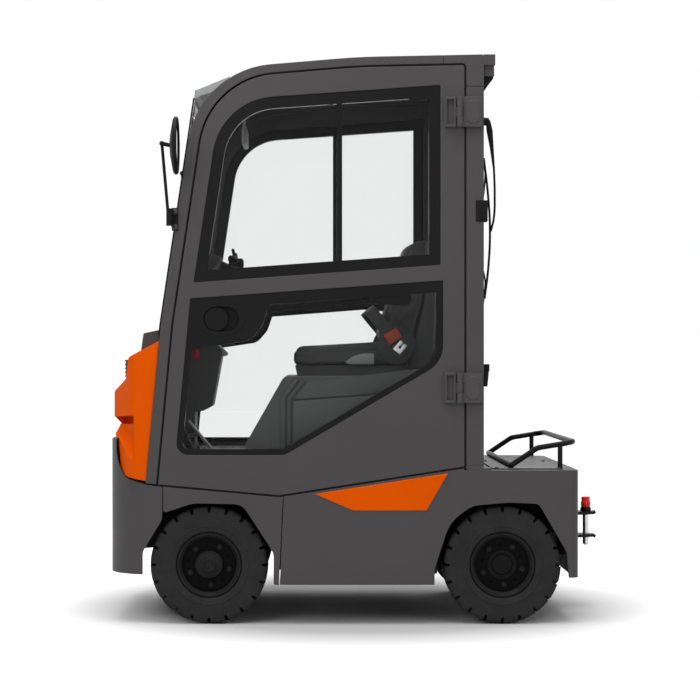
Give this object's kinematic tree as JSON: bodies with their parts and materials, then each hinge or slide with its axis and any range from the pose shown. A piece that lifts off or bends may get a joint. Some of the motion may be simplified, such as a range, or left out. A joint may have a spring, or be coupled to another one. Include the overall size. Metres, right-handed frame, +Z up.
{
  "type": "airport baggage tug",
  "caption": "Short electric tow tractor with a closed two-door cab, orange hood, wraparound bumper, steered front wheels, luggage rail and a pin tow coupling.",
  "frame": {"origin": "on the ground, under the middle of the overall length and width", "axes": "+X forward, +Y to the driver's left, +Z up"},
  "size_m": [1.9629, 1.4522, 2.1976],
  "materials": {
    "paint": "satin",
    "orange": "satin",
    "black_metal": "satin",
    "black_plastic": "matte",
    "floor_mat": "matte",
    "tyre": "matte",
    "glass": "clear",
    "lamp": "gloss",
    "red_lamp": "gloss",
    "zinc": "satin",
    "battery": "matte",
    "seat": "matte",
    "visor": "gloss"
  },
  "bodies": {
    "chassis": {"frame": "black_metal", "front_axle": "black_metal", "rear_axle": "black_metal", "battery": "battery", "front_bumper": "paint", "hood": "orange", "headlamps": "lamp", "cowl": "black_plastic", "front_fenders": "paint", "rear_body": "paint", "accent_panels": "orange", "deck_cover": "paint", "luggage_rail": "black_metal", "tail_lamps": "red_lamp", "tow_coupling": "black_metal", "cab_side_left": "paint", "cab_side_right": "paint", "cab_floor": "floor_mat", "front_wall": "paint", "rear_wall": "paint", "roof": "paint", "roof_visor": "visor", "windscreen": "glass", "rear_window": "glass", "rear_wiper": "black_plastic", "work_lamp": "black_plastic", "dashboard": "black_plastic", "pedals": "floor_mat", "seat_base": "black_plastic", "seat_cushion": "seat", "seat_back": "seat", "mirrors": "black_plastic", "hinge_posts": "paint"},
    "knuckle_left": {"knuckle_left": "black_metal"},
    "knuckle_right": {"knuckle_right": "black_metal"},
    "tie_rod": {"tie_rod": "black_metal"},
    "wheel_front_left": {"rim_front_left": "black_metal", "tyre_front_left": "tyre"},
    "wheel_front_right": {"rim_front_right": "black_metal", "tyre_front_right": "tyre"},
    "wheel_rear_left": {"rim_rear_left": "black_metal", "tyre_rear_left": "tyre"},
    "wheel_rear_right": {"rim_rear_right": "black_metal", "tyre_rear_right": "tyre"},
    "door_left": {"door_left": "paint", "door_trim_left": "black_plastic", "door_glass_left": "glass"},
    "door_right": {"door_right": "paint", "door_trim_right": "black_plastic", "door_glass_right": "glass"},
    "steering_wheel": {"steering_wheel": "black_plastic"},
    "tow_pin": {"tow_pin": "zinc"}
  },
  "joints": [
    {"name": "steer_left", "type": "hinge", "parent": "chassis", "child": "knuckle_left", "pos_m": [0.592, 0.37, 0.228], "axis": [0, 0, 1], "range_deg": [-35, 35]},
    {"name": "steer_right", "type": "hinge", "parent": "chassis", "child": "knuckle_right", "pos_m": [0.592, -0.37, 0.228], "axis": [0, 0, 1], "range_deg": [-35, 35]},
    {"name": "tie_rod_swing", "type": "hinge", "parent": "knuckle_left", "child": "tie_rod", "pos_m": [0.462, 0.37, 0.174], "axis": [0, 0, 1], "range_deg": [-35, 35]},
    {"name": "steering_wheel_turn", "type": "hinge", "parent": "chassis", "child": "steering_wheel", "pos_m": [0.468, 0, 1.365], "axis": [-0.4226, 0, 0.9063], "range_deg": [-280, 280]},
    {"name": "spin_front_left", "type": "hinge", "parent": "knuckle_left", "child": "wheel_front_left", "pos_m": [0.592, 0.48, 0.228], "axis": [0, 1, 0], "continuous": true},
    {"name": "spin_front_right", "type": "hinge", "parent": "knuckle_right", "child": "wheel_front_right", "pos_m": [0.592, -0.48, 0.228], "axis": [0, 1, 0], "continuous": true},
    {"name": "spin_rear_left", "type": "hinge", "parent": "chassis", "child": "wheel_rear_left", "pos_m": [-0.542, 0.48, 0.228], "axis": [0, 1, 0], "continuous": true},
    {"name": "spin_rear_right", "type": "hinge", "parent": "chassis", "child": "wheel_rear_right", "pos_m": [-0.542, -0.48, 0.228], "axis": [0, 1, 0], "continuous": true},
    {"name": "door_left_swing", "type": "hinge", "parent": "chassis", "child": "door_left", "pos_m": [-0.374, 0.597, 1.4], "axis": [0, 0, 1], "range_deg": [0, 100]},
    {"name": "door_right_swing", "type": "hinge", "parent": "chassis", "child": "door_right", "pos_m": [-0.374, -0.597, 1.4], "axis": [0, 0, -1], "range_deg": [0, 100]},
    {"name": "tow_pin_lift", "type": "slide", "parent": "chassis", "child": "tow_pin", "axis": [0, 0, 1], "range_m": [0, 0.125]}
  ],
  "couplings": [
    {"joint": "steer_right", "follows": "steer_left", "ratio": 1},
    {"joint": "tie_rod_swing", "follows": "steer_left", "ratio": -1},
    {"joint": "steering_wheel_turn", "follows": "steer_left", "ratio": 8}
  ]
}
